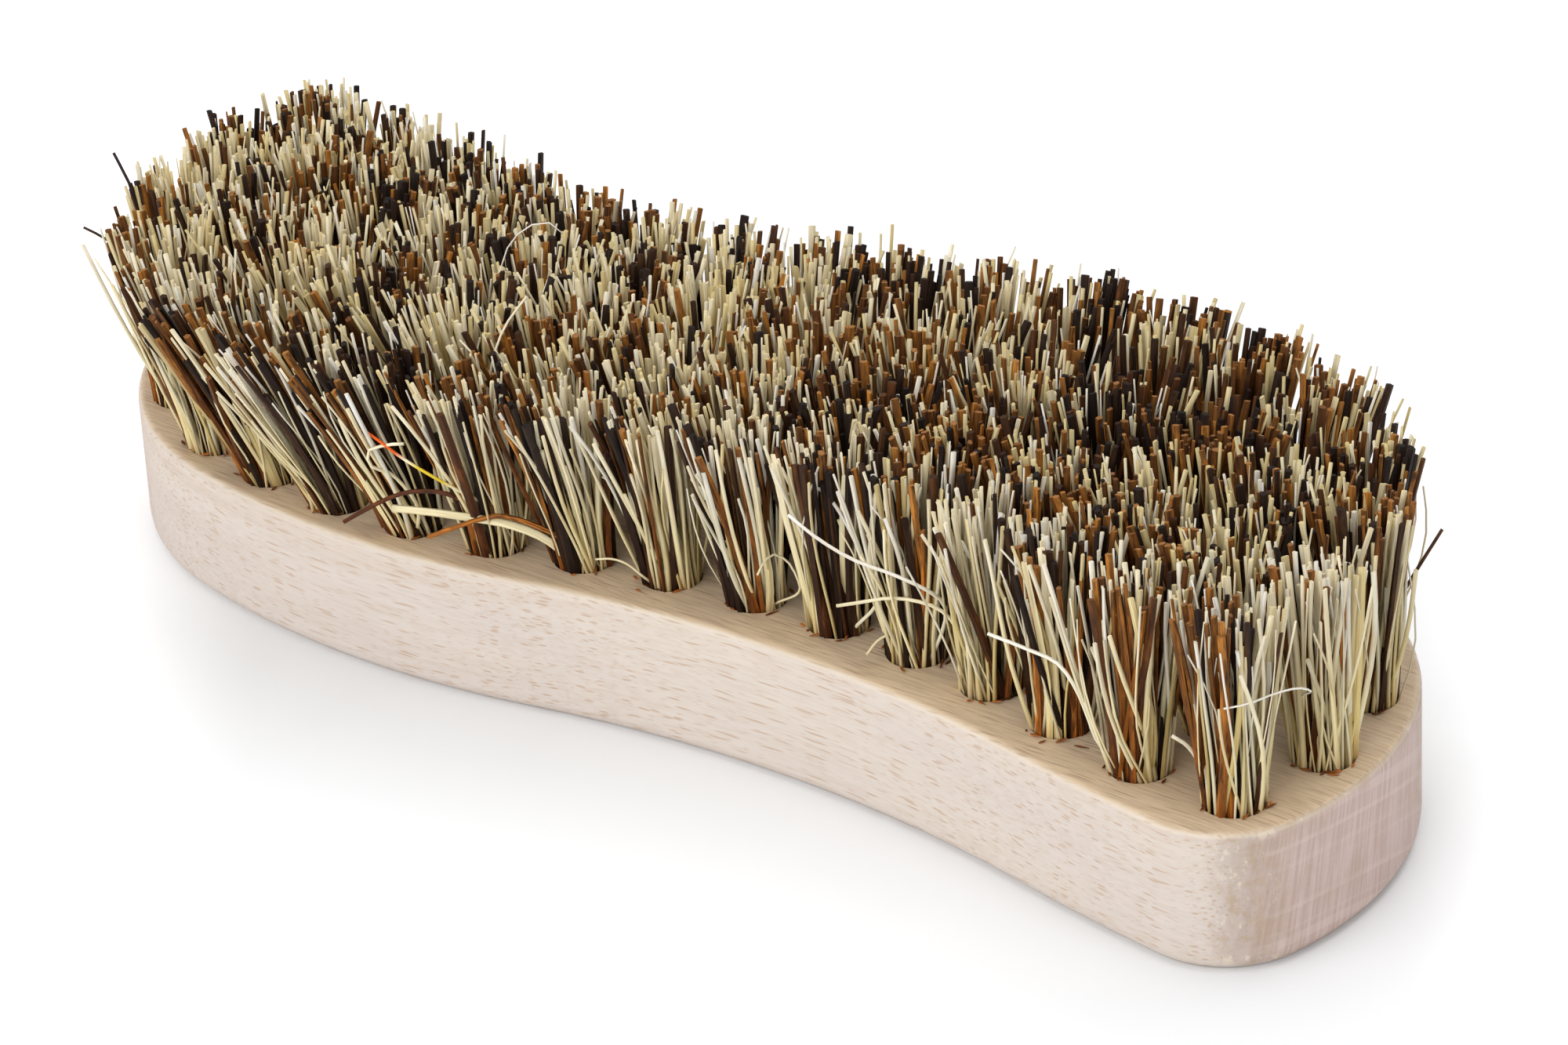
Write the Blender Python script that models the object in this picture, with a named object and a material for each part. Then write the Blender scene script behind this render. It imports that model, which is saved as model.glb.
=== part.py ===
"""S-shaped hand scrubbing brush: a flat beech block with two facing waists, and tufts of cut
plant fibre that are folded over wire staples and driven into blind holes in its face.

Metres, +Z up. The brush lies on its flat back with the bristles up. The origin is the middle of
the back, +X runs along the grain, and the outline repeats itself after half a turn about +Z.
"""
import math
import random

import bmesh
import bpy
from mathutils import Matrix, Vector

MM = 0.001

# Block
BLOCK_THICKNESS = 18.0 * MM
ARRIS_RADIUS = 1.5 * MM

# Half of the outline, as tangent arcs walked with the wood on the left: a round lobe, a long
# belly, the waist that bends the other way, a nearly straight shoulder and a tight corner.
# The corner turns by whatever is left of half a turn, and the other half is the same again.
LOBE_RADIUS = 43.5 * MM
LOBE_SWEEP = math.radians(91.0)
BELLY_RADIUS = 122.0 * MM
BELLY_SWEEP = math.radians(25.6)
WAIST_RADIUS = 172.0 * MM
WAIST_SWEEP = math.radians(24.8)
SHOULDER_RADIUS = 250.0 * MM
SHOULDER_SWEEP = math.radians(5.2)
CORNER_RADIUS = 12.0 * MM
FIRST_HEADING = math.radians(-103.7)

# Drilled holes: the wood left under them, and between the outer ones and the block's side.
# That rim of wood is widest at a share of the way from a tight corner round to the next one.
HOLE_RADIUS = 3.75 * MM
FLOOR_WOOD = 6.0 * MM
RIM_WOOD = 3.65 * MM
RIM_SWING = 1.6 * MM
WIDEST_RIM = 0.28

# Tufts round each half of the edge, from just past its tight corner: a few wide steps, close
# ones along the side, and wide ones round the lobe. All are stretched alike to fill the half.
FIRST_TUFT = 2.3 * MM
CORNER_STEPS = 2
CORNER_PITCH = 13.55 * MM
SIDE_STEPS = 11
SIDE_PITCH = 11.95 * MM
LOBE_STEPS = 4
LOBE_PITCH = 13.95 * MM

# Tufts inside the ring, in rows that divide its width evenly and stop short of its ends
INNER_ROWS = 2
INNER_ROW_TUFTS = 12
INNER_CLEARANCE = 12.4 * MM

# Fibres: each tuft leans by its splay and fans out until it nearly meets the next. The edge
# tufts lean most at a share of the way from a tight corner round to the next one.
BRISTLE_LENGTH = 25.5 * MM
LEAST_SPLAY = 0.5 * MM
MOST_SPLAY = 7.5 * MM
MOST_LEAN = 0.58
LEAN_POWER = 1.5
INNER_SPLAY = 1.8 * MM
TUFT_GAP = 1.2 * MM
STRAND_GAP = 0.5 * MM
TIP_THINNING = 0.92
TRIM_VARIATION = 0.8 * MM
PLUG_RECESS = 0.5 * MM

# Staple: two wire legs under the fold of each tuft
STAPLE_WIRE = 0.9 * MM
STAPLE_SPAN = 2.6 * MM
STAPLE_LEG = 2.0 * MM

# Clearance between two pieces that touch
FIT = 0.3 * MM

# Facets
ARC_STEP = math.radians(6.5)
FINE_STEP = math.radians(1.0)
ROW_STEP = 0.25 * MM
ARRIS_SEGMENTS = 3
ARRIS_ANGLE = math.radians(60.0)
SHARP_ANGLE = math.radians(40.0)
HOLE_SIDES = 12
SPINE_REACH = 0.42

# Colours: linear RGB, roughness
BEECH = ((0.72, 0.58, 0.45), 0.62)
FIBRE = ((0.42, 0.32, 0.19), 0.70)


def clear_scene():
    """Start from an empty scene."""
    for item in list(bpy.data.objects):
        bpy.data.objects.remove(item, do_unlink=True)


def material(name, look):
    """Make a plain, non-metallic material."""
    colour, roughness = look
    made = bpy.data.materials.new(name)
    made.use_nodes = True
    shader = made.node_tree.nodes["Principled BSDF"]
    shader.inputs["Base Color"].default_value = (*colour, 1.0)
    shader.inputs["Roughness"].default_value = roughness
    shader.inputs["Metallic"].default_value = 0.0
    made.diffuse_color = (*colour, 1.0)
    return made


def add_object(name, mesh, look=None):
    """Put a mesh in the scene under its own name."""
    made = bpy.data.objects.new(name, mesh)
    bpy.context.scene.collection.objects.link(made)
    if look:
        mesh.materials.append(look)
    return made


def mesh_from(name, bm):
    """Turn a bmesh into a mesh with its faces pointing out."""
    bmesh.ops.recalc_face_normals(bm, faces=bm.faces)
    made = bpy.data.meshes.new(name)
    bm.to_mesh(made)
    bm.free()
    return made


def outline_arcs():
    """Radius and turn of each arc in half of the outline; the waist bends the other way."""
    arcs = [
        (LOBE_RADIUS, LOBE_SWEEP),
        (BELLY_RADIUS, BELLY_SWEEP),
        (-WAIST_RADIUS, -WAIST_SWEEP),
        (SHOULDER_RADIUS, SHOULDER_SWEEP),
    ]
    turned = sum(sweep for _, sweep in arcs)
    return arcs + [(CORNER_RADIUS, math.pi - turned)]


def outline(inset, step):
    """Closed outline, drawn in from the edge by the inset, as points at most one step apart."""
    point = Vector((0.0, 0.0))
    heading = FIRST_HEADING
    half = [point.copy()]
    for radius, sweep in outline_arcs():
        count = max(2, math.ceil(abs(sweep) / step))
        turn = sweep / count
        chord = 2.0 * (radius - inset) * math.sin(turn / 2.0)
        for _ in range(count):
            direction = heading + turn / 2.0
            point = point + chord * Vector((math.cos(direction), math.sin(direction)))
            half.append(point.copy())
            heading += turn
    middle = (half[0] + half[-1]) / 2.0
    half = [p - middle for p in half[:-1]]
    return half + [-p for p in half]


class Ring:
    """A closed line of points that can be read by the distance along it."""

    def __init__(self, points):
        self.points = points + points[:1]
        self.marks = [0.0]
        for a, b in zip(self.points, self.points[1:]):
            self.marks.append(self.marks[-1] + (b - a).length)
        self.length = self.marks[-1]

    def at(self, distance):
        """Point and outward direction at a distance along the line."""
        distance %= self.length
        for index, mark in enumerate(self.marks[1:]):
            if mark >= distance:
                break
        a, b = self.points[index], self.points[index + 1]
        along = (b - a).normalized()
        return a + along * (distance - self.marks[index]), Vector((along.y, -along.x))

    def span(self, x):
        """Lowest and highest y of the line at a place along x."""
        crossings = []
        for a, b in zip(self.points, self.points[1:]):
            if (a.x - x) * (b.x - x) < 0.0:
                crossings.append(a.y + (b.y - a.y) * (x - a.x) / (b.x - a.x))
        return min(crossings), max(crossings)


class Place:
    """Where a tuft stands, which way it leans and how far its tips are carried that way."""

    def __init__(self, foot, outward, splay):
        self.foot = foot
        self.outward = outward
        self.splay = splay
        self.tip = foot + outward * splay

    def room(self, others):
        """Distance from the middle of its tips to those of the nearest other tuft."""
        return min((self.tip - other.tip).length for other in others if other is not self)

    def turn(self):
        """Angle about +Z that brings the tuft's -Y to its outward side."""
        return math.atan2(self.outward.y, self.outward.x) + math.pi / 2.0


def edge_steps():
    """Steps from tuft to tuft along half of the edge, before they are stretched to fill it."""
    runs = (
        (CORNER_STEPS, CORNER_PITCH),
        (SIDE_STEPS, SIDE_PITCH),
        (LOBE_STEPS, LOBE_PITCH),
    )
    return [pitch for count, pitch in runs for _ in range(count)]


def edge_places(ring):
    """Places of the tufts round the edge, walked from the tight corner at +X."""
    half_length = ring.length / 2.0
    steps = edge_steps()
    stretch = half_length / sum(steps)
    places = []
    walked = FIRST_TUFT
    for step in steps * 2:
        share = walked / half_length
        point, outward = ring.at(half_length - walked)
        swing = RIM_SWING * math.cos(math.tau * (share - WIDEST_RIM))
        lean = (0.5 + 0.5 * math.cos(math.tau * (share - MOST_LEAN))) ** LEAN_POWER
        splay = LEAST_SPLAY + (MOST_SPLAY - LEAST_SPLAY) * lean
        places.append(Place(point - outward * swing, outward, splay))
        walked += step * stretch
    return places


def row_point(ring, share, x):
    """Point of an inner row at a place along x."""
    low, high = ring.span(x)
    return Vector((x, low + (high - low) * share))


def row_end(ring, share, edge, way):
    """Walk in from one end of the ring until a tuft of the row stands clear of the edge tufts."""
    x = way * (max(point.x for point in ring.points) - ROW_STEP)
    while min((row_point(ring, share, x) - place.foot).length for place in edge) < INNER_CLEARANCE:
        x -= way * ROW_STEP
    return x


def inner_places(ring, edge):
    """Places of the tufts inside the ring, row by row."""
    places = []
    for row in range(INNER_ROWS):
        share = (row + 1) / (INNER_ROWS + 1)
        outward = Vector((0.0, 1.0 if share > 0.5 else -1.0))
        first, last = [row_end(ring, share, edge, way) for way in (-1.0, 1.0)]
        for index in range(INNER_ROW_TUFTS):
            x = first + (last - first) * index / (INNER_ROW_TUFTS - 1)
            places.append(Place(row_point(ring, share, x), outward, INNER_SPLAY))
    return places


def circle(bm, radius, z, count):
    """Corners of a round section."""
    turns = [math.tau * k / count for k in range(count)]
    return [bm.verts.new((radius * math.cos(t), radius * math.sin(t), z)) for t in turns]


def square(bm, centre_x, side, z):
    """Corners of a square wire section."""
    h = side / 2.0
    corners = ((-h, -h), (h, -h), (h, h), (-h, h))
    return [bm.verts.new((centre_x + x, y, z)) for x, y in corners]


def walls(bm, lower, upper):
    """Side faces between two loops with the same number of corners."""
    for k in range(len(lower)):
        n = (k + 1) % len(lower)
        bm.faces.new((lower[k], lower[n], upper[n], upper[k]))


def loop_edges(bm, loop):
    """Edges of a closed loop of corners."""
    return [bm.edges.get((a, b)) or bm.edges.new((a, b)) for a, b in zip(loop, loop[1:] + loop[:1])]


def root_cells(bm, rim, z):
    """Divide the round top of a plug into eight four-sided cells about a short spine."""
    reach = SPINE_REACH * (HOLE_RADIUS - FIT)
    left, middle, right = [bm.verts.new((x, 0.0, z)) for x in (-reach, 0.0, reach)]
    cells = []
    for sign in (1, -1):
        r = [rim[sign * k] for k in range(7)]
        cells += [(right, r[0], r[1], r[2]), (right, r[2], r[3], middle)]
        cells += [(middle, r[3], r[4], left), (left, r[4], r[5], r[6])]
    return [bm.faces.new(cell) for cell in cells]


def grow_strands(bm, cells, spread, splay, rng):
    """Raise one strand from each cell. They fan out evenly about the tuft, so none cross."""
    bmesh.ops.inset_individual(bm, faces=cells, thickness=STRAND_GAP / 2.0)
    grown = bmesh.ops.extrude_discrete_faces(bm, faces=cells)["faces"]
    fan = spread / (HOLE_RADIUS - FIT)
    for face in grown:
        root = face.calc_center_median()
        height = BRISTLE_LENGTH - rng.random() * TRIM_VARIATION
        tip = Vector((root.x * fan, root.y * fan - splay, height))
        for vert in face.verts:
            vert.co = tip + (vert.co - root) * TIP_THINNING


def tuft_mesh(name, spread, splay, rng):
    """One tuft about its hole's mouth: fold, staple legs and strands; it leans to its -Y."""
    bm = bmesh.new()
    fold = FLOOR_WOOD + FIT + STAPLE_LEG - BLOCK_THICKNESS
    top = circle(bm, HOLE_RADIUS - FIT, -PLUG_RECESS, HOLE_SIDES)
    base = circle(bm, HOLE_RADIUS - FIT, fold, HOLE_SIDES)
    walls(bm, base, top)
    edges = loop_edges(bm, base)
    for side in (-1, 1):
        upper = square(bm, side * STAPLE_SPAN / 2.0, STAPLE_WIRE, fold)
        lower = square(bm, side * STAPLE_SPAN / 2.0, STAPLE_WIRE, fold - STAPLE_LEG)
        walls(bm, lower, upper)
        bm.faces.new(lower)
        edges += loop_edges(bm, upper)
    bmesh.ops.triangle_fill(bm, edges=edges, use_beauty=True)
    grow_strands(bm, root_cells(bm, top, -PLUG_RECESS), spread, splay, rng)
    return mesh_from(name, bm)


def add_tufts(kind, places, others, look, rng):
    """Stand a tuft in every hole, fanned out into the room that its neighbours leave."""
    for number, place in enumerate(places, 1):
        name = f"{kind}_{number:02d}"
        spread = (place.room(others) - TUFT_GAP) / 2.0
        tuft = add_object(name, tuft_mesh(name, spread, place.splay, rng), look)
        tuft.location = (place.foot.x, place.foot.y, BLOCK_THICKNESS)
        tuft.rotation_euler.z = place.turn()


def hole_cutter(places):
    """All the drills as one guide, each turned like the tuft that it makes room for."""
    bm = bmesh.new()
    for place in places:
        drill = circle(bm, HOLE_RADIUS, FLOOR_WOOD, HOLE_SIDES)
        mouth = circle(bm, HOLE_RADIUS, 2.0 * BLOCK_THICKNESS, HOLE_SIDES)
        walls(bm, drill, mouth)
        bm.faces.new(drill)
        bm.faces.new(mouth)
        turn = Matrix.Rotation(place.turn(), 4, "Z")
        shift = Matrix.Translation((place.foot.x, place.foot.y, 0.0))
        bmesh.ops.transform(bm, matrix=shift @ turn, verts=drill + mouth)
    cutter = add_object("hole_guide", mesh_from("hole_guide", bm))
    cutter.hide_render = True
    cutter.display_type = "WIRE"
    return cutter


def add_block(places, look):
    """The beech block: the outline raised to its thickness, its arrises eased, then drilled."""
    bm = bmesh.new()
    rim = outline(0.0, ARC_STEP)
    lower = [bm.verts.new((p.x, p.y, 0.0)) for p in rim]
    upper = [bm.verts.new((p.x, p.y, BLOCK_THICKNESS)) for p in rim]
    walls(bm, lower, upper)
    bm.faces.new(lower)
    bm.faces.new(upper)
    block = add_object("beech_block", mesh_from("beech_block", bm), look)
    block.data.shade_smooth()
    block.data.set_sharp_from_angle(angle=SHARP_ANGLE)
    ease = block.modifiers.new("eased_arrises", "BEVEL")
    ease.width = ARRIS_RADIUS
    ease.segments = ARRIS_SEGMENTS
    ease.limit_method = "ANGLE"
    ease.angle_limit = ARRIS_ANGLE
    drill = block.modifiers.new("drilled_holes", "BOOLEAN")
    drill.operation = "DIFFERENCE"
    drill.solver = "EXACT"
    drill.object = hole_cutter(places)


def main():
    clear_scene()
    rng = random.Random(7)
    ring = Ring(outline(RIM_WOOD + HOLE_RADIUS, FINE_STEP))
    edge = edge_places(ring)
    inner = inner_places(ring, edge)
    tufts = edge + inner
    add_block(tufts, material("beech", BEECH))
    fibre = material("plant_fibre", FIBRE)
    add_tufts("edge_tuft", edge, tufts, fibre, rng)
    add_tufts("inner_tuft", inner, tufts, fibre, rng)


main()
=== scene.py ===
"""Hand scrubbing brush: a pale beech block in an S shape, and its tufts of mixed plant fibre.

Metres, +Z up. The brush lies on its flat back with the bristles up, its grain along X.
"""
import math

import bpy
import numpy as np
from bpy.props import FloatProperty, FloatVectorProperty, IntProperty, PointerProperty
from mathutils import Matrix, Vector


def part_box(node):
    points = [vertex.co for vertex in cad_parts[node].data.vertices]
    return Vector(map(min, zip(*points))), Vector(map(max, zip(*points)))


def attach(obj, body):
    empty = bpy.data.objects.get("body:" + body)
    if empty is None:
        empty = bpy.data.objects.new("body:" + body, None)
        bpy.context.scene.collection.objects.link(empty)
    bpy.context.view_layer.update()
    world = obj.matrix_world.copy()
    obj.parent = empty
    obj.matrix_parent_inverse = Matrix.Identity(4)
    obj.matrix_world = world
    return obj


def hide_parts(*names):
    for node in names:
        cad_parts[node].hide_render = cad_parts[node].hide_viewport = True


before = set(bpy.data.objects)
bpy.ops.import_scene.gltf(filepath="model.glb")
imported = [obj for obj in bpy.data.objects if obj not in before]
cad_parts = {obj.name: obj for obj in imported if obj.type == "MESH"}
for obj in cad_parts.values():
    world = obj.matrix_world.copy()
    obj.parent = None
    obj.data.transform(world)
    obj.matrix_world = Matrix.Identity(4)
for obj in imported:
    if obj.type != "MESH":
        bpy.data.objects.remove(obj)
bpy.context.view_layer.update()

bl_info = {
    "name": "Scrubbing Brush",
    "version": (1, 0, 0),
    "blender": (4, 5, 0),
    "location": "View3D > Sidebar > Brush",
    "description": "Beech block and mixed fibre tufts of a hand scrubbing brush",
    "category": "Add Mesh",
}

MM = 0.001
EDGE_NAMES = sorted(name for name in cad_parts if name.startswith("edge_tuft"))
INNER_NAMES = sorted(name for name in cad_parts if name.startswith("inner_tuft"))
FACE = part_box("beech_block")[1].z
TRIM = max(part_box(name)[1].z for name in EDGE_NAMES)

# Half of the outline: radius and turn of each arc, with the wood on the left. The tight corner
# takes what is left of half a turn.
FIRST_HEADING = math.radians(-103.7)
ARCS = (
    (43.5 * MM, math.radians(91.0)),
    (122.0 * MM, math.radians(25.6)),
    (-172.0 * MM, math.radians(-24.8)),
    (250.0 * MM, math.radians(5.2)),
)
CORNER_RADIUS = 12.0 * MM

# Kinds of fibre: half width, share of it that is the half thickness, and how far it bows
FIBRE_KINDS = {
    "pale": ((0.18, 0.42), (0.38, 0.85), 0.50),
    "hair": ((0.11, 0.17), (0.80, 1.00), 0.90),
    "strip": ((0.40, 0.62), (0.25, 0.45), 0.35),
    "brown": ((0.28, 0.66), (0.40, 0.85), 0.22),
    "dark": ((0.34, 0.72), (0.45, 0.90), 0.16),
}

# Among the pale fibres: the share of flat strips and that of fibres as thin as hair
STRIPS = 0.09
HAIRS = 0.14

# Tufts in front: share of dark fibre, share of brown fibre, and the side on which they gather,
# from -1 at the left of the camera to 1 at its right
FRONT_MIX = {
    "edge_tuft_01": (0.10, 0.25, -0.7),
    "edge_tuft_02": (0.13, 0.22, -0.2),
    "edge_tuft_03": (0.18, 0.20, 0.3),
    "edge_tuft_04": (0.12, 0.10, 0.8),
    "edge_tuft_05": (0.16, 0.20, 0.2),
    "edge_tuft_06": (0.24, 0.20, 0.1),
    "edge_tuft_07": (0.19, 0.14, -0.2),
    "edge_tuft_08": (0.17, 0.11, -0.7),
    "edge_tuft_09": (0.15, 0.19, -0.5),
    "edge_tuft_10": (0.11, 0.28, -0.3),
    "edge_tuft_11": (0.44, 0.16, 0.1),
    "edge_tuft_12": (0.19, 0.21, 0.0),
    "edge_tuft_13": (0.22, 0.25, -0.4),
    "edge_tuft_14": (0.08, 0.13, 0.0),
    "edge_tuft_34": (0.06, 0.11, 0.0),
}

# The same shares in the other tufts, and how much they grow toward the near end
USUAL_MIX = (0.15, 0.20)
NEAR_MIX = 0.08

# Tufts with few strays of their own, behind the strip and the curls that lie over the face
CALM_TUFTS = ("edge_tuft_10", "edge_tuft_11")

# Tufts nearest the camera, ragged on their front side
NEAR_TUFTS = EDGE_NAMES[:4]

# Tufts that lean over to the left
LEANING_TUFTS = ("edge_tuft_11", "edge_tuft_12", "edge_tuft_13")

# Along the block: where its ends begin, where the near end's mix is full, and where the strays
# begin to sway to the left
END_START = 0.07
NEAR_FULL = 0.06
SWAY_START = -0.05

# Strays: share of the pale fibres on the outer side of an edge tuft, and what the dark fibres,
# the calm tufts and the ragged ones have of that share
STRAYS = 0.26
DARK_STRAYS = 0.12
CALM_STRAYS = 0.5
RAGGED_STRAYS = 1.6

# How far fibres lean from their fan, inward at the edge or to the left
LEAN = 3.5 * MM

# How deep in its hole a fibre starts
ROOT_DEPTH = 6.0 * MM

# Rings along a fibre of a tuft, a loose one and a shred, and the seeds of the random draws
TUFT_RINGS, LOOSE_RINGS, SHRED_RINGS = 8, 20, 4
EDGE_SEED, INNER_SEED, SHRED_SEED = 100, 500, 31

# Fibres that stray out of their tufts: the tuft each one grows from, half width and half
# thickness, colour, and the points it passes, all in millimetres
LOOSE_FIBRES = (
    ("edge_tuft_09", 0.62, 0.12, (0.92, 0.87, 0.70), (
        (-8.7, -24.0, 20.6), (-10.6, -25.4, 22.6), (-13.9, -27.3, 24.1),
        (-18.5, -29.3, 24.6), (-23.5, -30.9, 24.6), (-28.0, -32.7, 24.6))),
    ("edge_tuft_10", 0.34, 0.22, (0.085, 0.032, 0.018), (
        (-18.7, -27.7, 24.4), (-19.5, -29.5, 26.8), (-20.2, -30.9, 28.0), (-23.4, -31.6, 27.8),
        (-26.4, -32.6, 27.0), (-28.4, -34.1, 26.0), (-30.2, -35.8, 24.8), (-32.0, -37.2, 23.5))),
    ("edge_tuft_09", 0.38, 0.24, (0.33, 0.140, 0.034), (
        (-7.9, -24.0, 21.9), (-8.8, -26.2, 24.3), (-11.3, -27.5, 25.4), (-14.5, -28.2, 25.5),
        (-16.8, -29.1, 24.8), (-18.5, -30.8, 24.2), (-21.7, -33.4, 22.8))),
    ("edge_tuft_10", 0.24, 0.20, (0.92, 0.87, 0.70), (
        (-18.5, -24.5, 22.0), (-17.5, -28.1, 26.5), (-18.6, -30.6, 28.8), (-21.0, -32.6, 31.0),
        (-23.5, -33.4, 32.3), (-25.0, -34.1, 33.4), (-26.6, -34.9, 34.9), (-29.2, -35.5, 36.3))),
    ("edge_tuft_11", 0.27, 0.20, (0.90, 0.84, 0.66), (
        (-26.9, -29.7, 24.5), (-28.0, -32.2, 29.0), (-28.4, -35.6, 32.0), (-28.3, -35.8, 33.5),
        (-26.4, -34.7, 34.5), (-24.0, -33.8, 35.0))),
    ("edge_tuft_05", 0.26, 0.18, (0.93, 0.92, 0.92), (
        (45.5, -18.9, 28.0), (44.8, -20.8, 30.0), (41.9, -22.9, 32.0), (37.8, -24.8, 33.5),
        (32.8, -25.7, 35.5), (29.2, -26.1, 37.5))),
    ("edge_tuft_06", 0.26, 0.18, (0.93, 0.92, 0.90), (
        (36.5, -19.3, 27.5), (34.0, -19.4, 31.5), (32.5, -20.2, 35.5), (30.6, -20.5, 38.0),
        (26.4, -21.1, 39.5))),
    ("edge_tuft_04", 0.27, 0.18, (0.92, 0.88, 0.74), (
        (47.9, -17.9, 21.5), (46.9, -18.7, 25.5), (45.9, -19.5, 27.0), (43.0, -20.8, 28.0),
        (40.0, -22.2, 28.0), (37.7, -23.7, 27.5), (34.6, -24.7, 26.5))),
    ("edge_tuft_02", 0.28, 0.16, (0.93, 0.92, 0.92), (
        (72.4, -25.4, 21.0), (71.7, -26.4, 25.0), (70.2, -26.5, 28.0), (68.0, -26.4, 30.0),
        (64.1, -27.0, 31.0), (59.3, -28.0, 32.0))),
    ("edge_tuft_07", 0.18, 0.14, (0.90, 0.86, 0.74), (
        (24.1, -18.7, 23.5), (22.2, -19.0, 26.5), (21.4, -19.9, 27.2), (21.1, -21.3, 26.8),
        (21.0, -22.6, 25.5))),
    ("edge_tuft_05", 0.20, 0.14, (0.90, 0.84, 0.70), (
        (38.5, -19.2, 21.5), (37.4, -20.5, 21.0), (36.7, -22.2, 19.5))),
    ("edge_tuft_08", 0.18, 0.14, (0.92, 0.88, 0.76), (
        (3.0, -22.7, 20.0), (0.8, -22.8, 21.0), (-1.7, -22.8, 21.0), (-4.0, -23.1, 20.4))),
    ("edge_tuft_01", 0.30, 0.16, (0.93, 0.92, 0.92), (
        (88.2, -25.4, 20.5), (86.6, -25.6, 23.0), (85.2, -26.1, 25.0), (83.8, -26.8, 26.0))),
    ("edge_tuft_34", 0.15, 0.12, (0.93, 0.92, 0.92), (
        (92.0, -13.5, 27.0), (95.5, -16.5, 30.5), (96.2, -20.5, 33.0), (95.4, -24.0, 33.6),
        (94.2, -26.8, 33.4), (92.2, -28.6, 33.0))),
    ("inner_tuft_04", 0.12, 0.10, (0.92, 0.90, 0.85), (
        (-36.6, -0.8, 42.0), (-35.6, -0.1, 45.0), (-34.2, 1.8, 47.0), (-32.0, 3.5, 47.5),
        (-30.6, 4.4, 46.0))),
    ("edge_tuft_10", 0.20, 0.16, (0.88, 0.80, 0.60), (
        (-22.4, -21.0, 33.0), (-21.6, -16.9, 44.5), (-19.8, -14.7, 48.0))),
    ("edge_tuft_33", 0.26, 0.18, (0.06, 0.028, 0.015), (
        (88.3, 8.4, 24.0), (90.5, 10.1, 30.0), (92.3, 14.8, 36.0))),
    ("edge_tuft_16", 0.26, 0.20, (0.03, 0.02, 0.02), (
        (-91.0, -7.0, 32.0), (-93.1, -10.1, 45.0), (-94.2, -10.2, 47.0))),
    ("edge_tuft_15", 0.22, 0.16, (0.05, 0.03, 0.02), (
        (-82.5, -18.0, 32.0), (-86.1, -20.7, 41.0), (-87.8, -22.7, 43.0))),
    ("edge_tuft_14", 0.18, 0.14, (0.88, 0.80, 0.60), (
        (-76.0, -24.0, 30.0), (-81.4, -25.2, 38.0), (-83.2, -25.7, 41.0))),
)

# How deep in its hole a loose fibre starts, and how far from the middle it comes out
LOOSE_DEPTH = 4.0 * MM
LOOSE_OUT = 2.6 * MM

# The loose fibre with dyed stretches: its place above, and where each stretch starts and ends
# as a share of its length, and its colour
DYED_FIBRE = 3
DYES = ((0.62, 0.74, (0.80, 0.60, 0.05)), (0.84, 1.0, (0.80, 0.13, 0.015)))

# Broken bits of fibre on the face: middle, length and direction along it
CRUMBS = (
    ((68.8, -23.6), 1.9, 0.15),
    ((88.1, 9.8), 1.5, 0.9),
    ((2.6, -23.2), 1.1, -0.3),
    ((64.4, -25.2), 0.9, 1.0),
)

# Shreds of fibre: how many lie round each hole of the edge, and the two colours they range between
SHREDS = 9
SHRED_TINTS = ((0.42, 0.18, 0.05), (0.10, 0.04, 0.016))

# Camera, from the vanishing lines of the outline
CAMERA_YAW = 0.7023231708
CAMERA_PITCH = 0.4871137021
CAMERA_ROLL = -0.0555563687
CAMERA_TARGET = (-6.0116 * MM, 14.6974 * MM, 8.0 * MM)
CAMERA_RIGHT = np.array([math.cos(CAMERA_YAW), math.sin(CAMERA_YAW)])


def metres(name, description, default):
    """A setting in metres."""
    return FloatProperty(name=name, description=description, default=default, unit="LENGTH")


def swatch(name, description, default):
    """A setting that is a colour."""
    return FloatVectorProperty(
        name=name, description=description, default=default, subtype="COLOR", size=3
    )


def scalar(name, description, default):
    """A setting without a unit."""
    return FloatProperty(name=name, description=description, default=default)


class BlockSettings(bpy.types.PropertyGroup):
    """Sizes and colours of the beech block."""

    arris: metres("Arris", "Radius of the eased top edge", 1.0 * MM)
    lower_arris: metres("Lower arris", "Radius of the eased bottom edge", 1.9 * MM)
    hole: metres("Hole", "Radius of each drilled hole", 3.75 * MM)
    depth: metres("Depth", "Depth of each drilled hole", 12.0 * MM)
    step: FloatProperty(
        name="Facet",
        description="Turn between two corners of the outline",
        default=math.radians(1.8),
        unit="ROTATION",
    )
    wood: swatch("Wood", "Planed beech", (0.61, 0.54, 0.495))
    fleck: swatch("Fleck", "Ray flecks in the beech", (0.47, 0.315, 0.21))
    # The face's tint is painted warm light bounced from the fibres
    face: swatch("Face", "Tint of the drilled face", (0.70, 0.53, 0.345))
    end: swatch("End grain", "Wood cut across the grain", (0.54, 0.405, 0.345))


class FibreSettings(bpy.types.PropertyGroup):
    """Number, shape and colours of the plant fibres."""

    edge_count: IntProperty(name="Edge fibres", description="Fibres in an edge tuft", default=118)
    inner_count: IntProperty(name="Inner fibres", description="Fibres in an inner tuft", default=156)
    root: metres("Root", "Radius of the bundle in its hole", 3.85 * MM)
    reach: metres("Reach", "Furthest that a tuft fans out where nothing stands", 6.3 * MM)
    trim: metres("Trim", "Difference in height between cut tips", 2.6 * MM)
    cream: swatch("Cream", "Pale fibre", (0.82, 0.75, 0.555))
    straw: swatch("Straw", "Yellow fibre", (0.66, 0.54, 0.26))
    white: swatch("White", "Bleached fibre", (0.76, 0.74, 0.69))
    rust: swatch("Rust", "Light brown fibre", (0.32, 0.135, 0.030))
    bark: swatch("Bark", "Dark brown fibre", (0.074, 0.028, 0.010))
    black: swatch("Black", "Darkest fibre", (0.015, 0.010, 0.009))


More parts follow.
